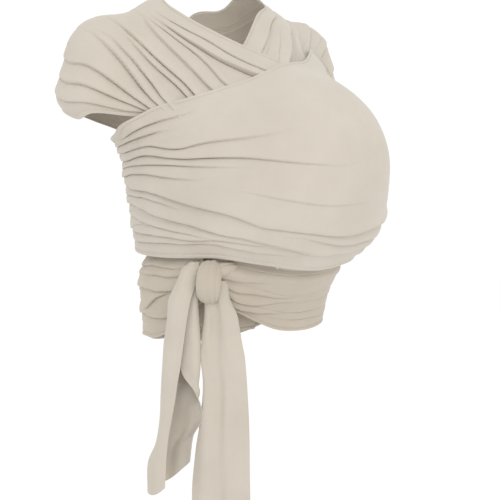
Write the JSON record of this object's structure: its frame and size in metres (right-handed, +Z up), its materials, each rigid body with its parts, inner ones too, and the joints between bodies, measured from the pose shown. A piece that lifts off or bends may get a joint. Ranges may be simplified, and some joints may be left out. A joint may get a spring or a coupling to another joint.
{
  "type": "baby wrap sling",
  "caption": "Long stretch-jersey wrap tied in a front pocket carry: panel over the baby, crossed shoulder straps, waist pass, side knot and two hanging tails.",
  "frame": {"origin": "between the tops of the wearer's shoulders, level with the cloth that crosses them", "axes": "+Z up, the wearer faces -Y, the wearer's left hand is at +X and the knot is at the wearer's front right"},
  "size_m": [0.4582, 0.3769, 0.7103],
  "materials": {
    "panel_jersey": "fine matte stretch jersey, warm greige, smooth knit face",
    "strap_jersey": "fine matte stretch jersey, warm greige, gathered in soft folds",
    "waist_jersey": "fine matte stretch jersey, warm greige, gathered in soft folds",
    "tail_jersey": "fine matte stretch jersey, warm greige, folded lengthwise"
  },
  "bodies": {
    "worn_cloth": {"front_panel": "panel_jersey", "right_side_gather": "panel_jersey", "left_side_gather": "panel_jersey", "back_pass_to_left": "strap_jersey", "back_pass_to_right": "strap_jersey", "right_shoulder_cap": "strap_jersey", "left_shoulder_cap": "strap_jersey", "right_chest_strap": "strap_jersey", "left_chest_strap": "strap_jersey", "waist_back_inner": "waist_jersey", "waist_back_outer": "waist_jersey", "waist_front_right": "waist_jersey", "waist_front_left": "waist_jersey", "knot_base": "tail_jersey", "knot_turn": "tail_jersey"},
    "right_tail_top": {"right_tail_upper": "tail_jersey"},
    "right_tail_end": {"right_tail_lower": "tail_jersey"},
    "left_tail_top": {"left_tail_upper": "tail_jersey"},
    "left_tail_end": {"left_tail_lower": "tail_jersey"}
  },
  "joints": [
    {"name": "right_tail_swing", "type": "hinge", "parent": "worn_cloth", "child": "right_tail_top", "pos_m": [-0.1409, -0.0971, -0.35], "axis": [-0.7071, 0.7071, 0], "range_deg": [-2, 75]},
    {"name": "right_tail_fold", "type": "hinge", "parent": "right_tail_top", "child": "right_tail_end", "pos_m": [-0.148, -0.09, -0.5], "axis": [-0.7071, 0.7071, 0], "range_deg": [-25, 50]},
    {"name": "left_tail_swing", "type": "hinge", "parent": "worn_cloth", "child": "left_tail_top", "pos_m": [-0.1148, -0.1233, -0.404], "axis": [-0.7071, 0.7071, 0], "range_deg": [-2, 75]},
    {"name": "left_tail_fold", "type": "hinge", "parent": "left_tail_top", "child": "left_tail_end", "pos_m": [-0.1091, -0.1289, -0.55], "axis": [-0.7071, 0.7071, 0], "range_deg": [-25, 50]}
  ]
}
